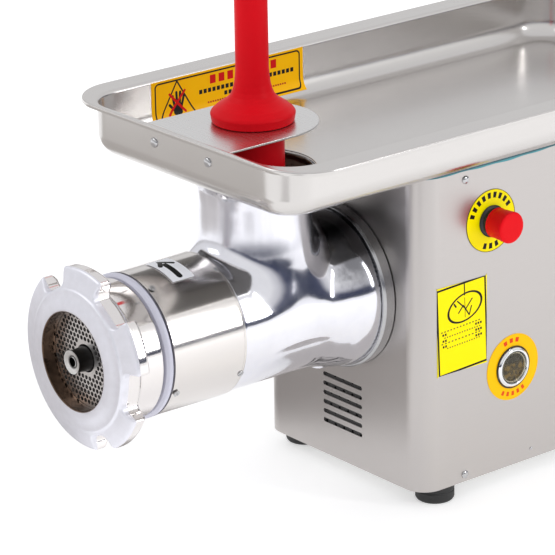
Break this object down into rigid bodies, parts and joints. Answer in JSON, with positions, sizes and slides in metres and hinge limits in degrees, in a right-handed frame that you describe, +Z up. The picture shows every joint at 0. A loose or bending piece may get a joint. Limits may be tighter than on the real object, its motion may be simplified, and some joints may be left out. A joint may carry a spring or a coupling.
{
  "type": "electric meat grinder",
  "caption": "Bench meat grinder: steel gearmotor housing, feed tray with guard and red pusher, aluminium head with lobed ring nut, plate, knife and worm.",
  "frame": {"origin": "middle of the overall box in X and Y, on the resting surface in Z", "axes": "+Z up, the work head faces -Y, +X is the side with the stop button"},
  "size_m": [0.3416, 0.751, 0.5757],
  "materials": {
    "steel_sheet": "brushed",
    "tray_steel": "brushed",
    "inner_sheet": "satin",
    "screws": "satin",
    "machined_steel": "turned",
    "ring_steel": "polished",
    "cast_alu": "polished",
    "nut_alu": "matt face",
    "collar_plastic": "satin",
    "bronze": "turned",
    "fibre": "matt",
    "red_plastic": "satin",
    "black_plastic": "matt",
    "grey_plastic": "matt",
    "rubber": "matt",
    "iron": "painted",
    "motor_paint": "painted",
    "winding": "varnished",
    "chrome": "polished",
    "oil_glass": "clear over oil",
    "label_yellow": "printed"
  },
  "bodies": {
    "machine": {"housing_shell": "steel_sheet", "top_deck": "inner_sheet", "base_plate": "inner_sheet", "rear_panel": "steel_sheet", "vent_insert": "black_plastic", "feet": "rubber", "foot_bolts": "screws", "housing_screws": "screws", "rear_screws": "screws", "tray": "tray_steel", "tray_fixings": "screws", "guard_plate": "inner_sheet", "guard_screws": "screws", "guard_nuts": "screws", "head_casting": "cast_alu", "head_bush": "bronze", "sleeve": "tray_steel", "sleeve_screws": "screws", "collar_ring": "collar_plastic", "mounting_ring": "ring_steel", "head_bolts": "screws", "cutting_plate": "machined_steel", "plate_key": "screws", "thrust_washer": "fibre", "gearbox_case": "iron", "gearbox_cover": "iron", "cover_screws": "screws", "oil_seal": "rubber", "output_bearings": "machined_steel", "mid_bearings": "machined_steel", "motor_case": "motor_paint", "motor_end_front": "motor_paint", "motor_end_rear": "motor_paint", "motor_bearings": "machined_steel", "stator": "winding", "fan_cowl": "motor_paint", "terminal_box": "motor_paint", "sight_ring": "chrome", "sight_glass": "oil_glass", "stop_collar": "black_plastic", "stop_contacts": "grey_plastic", "labels": "label_yellow", "cable_gland": "black_plastic"},
    "worm_drive": {"worm": "machined_steel", "worm_stud": "machined_steel", "knife": "machined_steel", "output_shaft": "machined_steel", "output_gear": "machined_steel"},
    "mid_train": {"mid_shaft": "machined_steel", "mid_pinion": "machined_steel", "mid_gear": "machined_steel"},
    "motor_train": {"motor_shaft": "machined_steel", "rotor": "machined_steel", "motor_pinion": "machined_steel", "fan": "black_plastic"},
    "ring": {"ring_nut": "nut_alu"},
    "pusher": {"pusher": "red_plastic"},
    "stop": {"stop_button": "red_plastic"},
    "selector": {"selector": "black_plastic"}
  },
  "joints": [
    {"name": "worm_turn", "type": "hinge", "parent": "machine", "child": "worm_drive", "pos_m": [0, -0.0665, 0.1967], "axis": [0, -1, 0], "continuous": true},
    {"name": "mid_turn", "type": "hinge", "parent": "machine", "child": "mid_train", "pos_m": [0, -0.0065, 0.1092], "axis": [0, -1, 0], "continuous": true},
    {"name": "motor_turn", "type": "hinge", "parent": "machine", "child": "motor_train", "pos_m": [0, 0.1335, 0.1872], "axis": [0, -1, 0], "continuous": true},
    {"name": "ring_unscrew", "type": "hinge", "parent": "machine", "child": "ring", "pos_m": [0, -0.3565, 0.1967], "axis": [0, -1, 0], "range_deg": [0, 360]},
    {"name": "pusher_lift", "type": "slide", "parent": "machine", "child": "pusher", "axis": [0, 0, 1], "range_m": [0, 0.2]},
    {"name": "stop_press", "type": "slide", "parent": "machine", "child": "stop", "axis": [-1, 0, 0], "range_m": [0, 0.005]},
    {"name": "selector_turn", "type": "hinge", "parent": "machine", "child": "selector", "pos_m": [-0.115, 0.018, 0.2673], "axis": [-1, 0, 0], "range_deg": [-45, 45]}
  ],
  "couplings": [
    {"joint": "mid_turn", "follows": "worm_turn", "ratio": -2.5},
    {"joint": "motor_turn", "follows": "worm_turn", "ratio": 8.3333}
  ]
}
